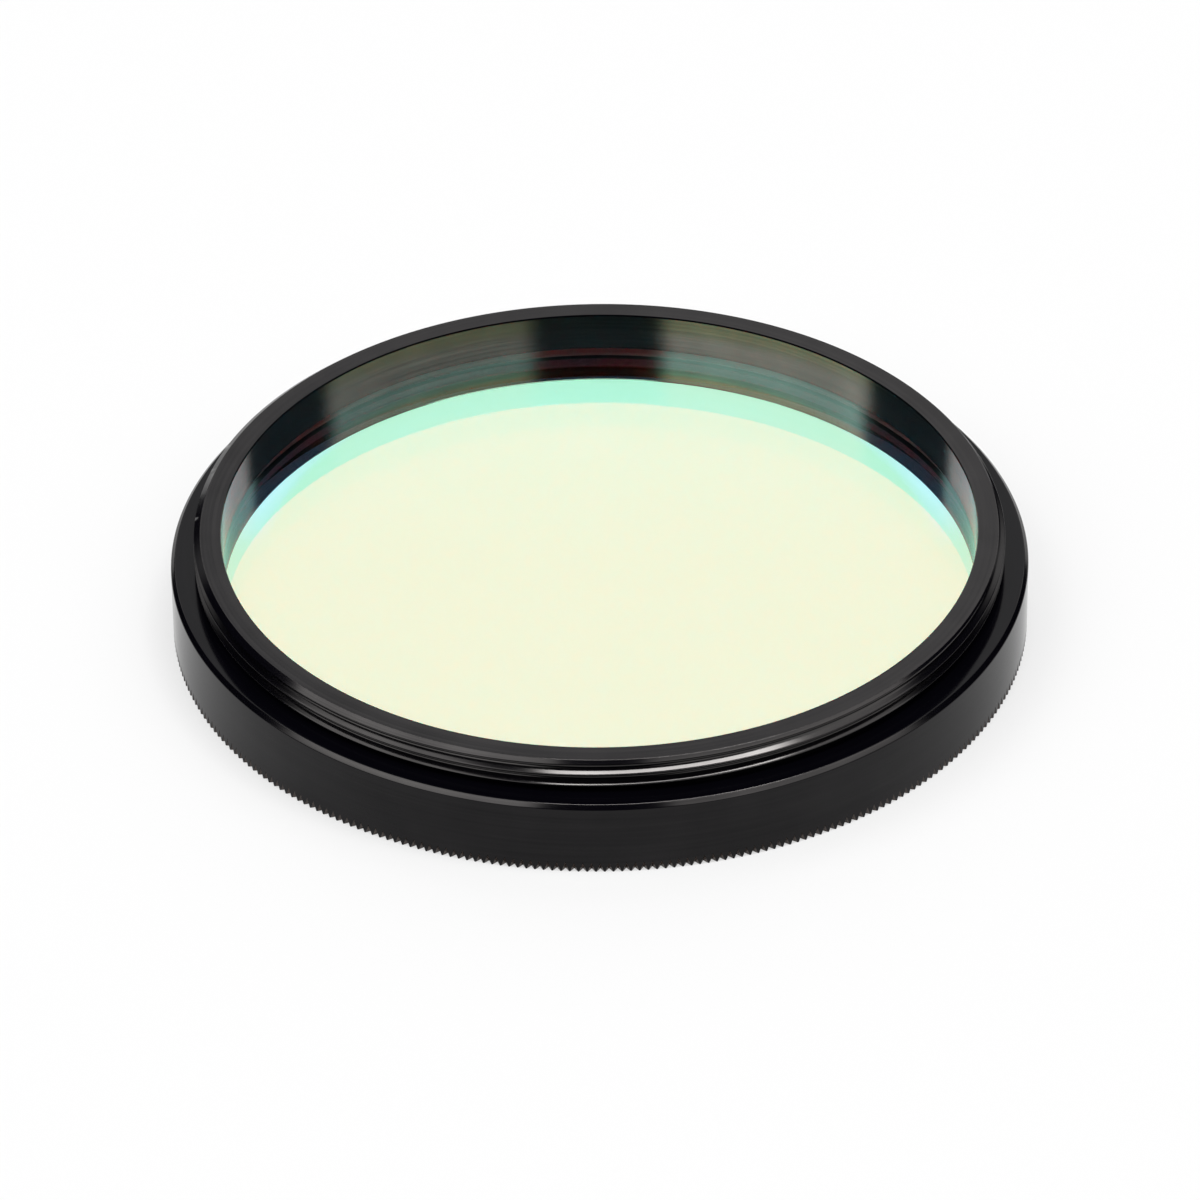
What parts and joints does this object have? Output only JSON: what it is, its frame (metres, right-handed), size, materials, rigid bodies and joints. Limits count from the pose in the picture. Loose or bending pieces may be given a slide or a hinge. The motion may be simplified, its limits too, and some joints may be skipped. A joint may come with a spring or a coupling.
{
  "type": "threaded optical bandpass filter",
  "caption": "Round coated glass filter held in a thin black anodised threaded cell, with a male thread on one side, a female thread on the other and a fine knurled edge.",
  "frame": {"origin": "centre of the flat face with the female thread, on which the filter lies", "axes": "+Z along the optical axis, towards the male thread; the part is round, so X and Y are free"},
  "size_m": [0.0508, 0.0508, 0.0066],
  "materials": {
    "black_anodised": "glossy black anodised aluminium, turned",
    "coated_glass": "polished glass with an interference coating, pale yellow with mint at a slant",
    "black_ring": "matt black anodised aluminium"
  },
  "bodies": {
    "root": {"filter_cell": "black_anodised", "filter_glass": "coated_glass", "retaining_ring": "black_ring"}
  },
  "joints": []
}
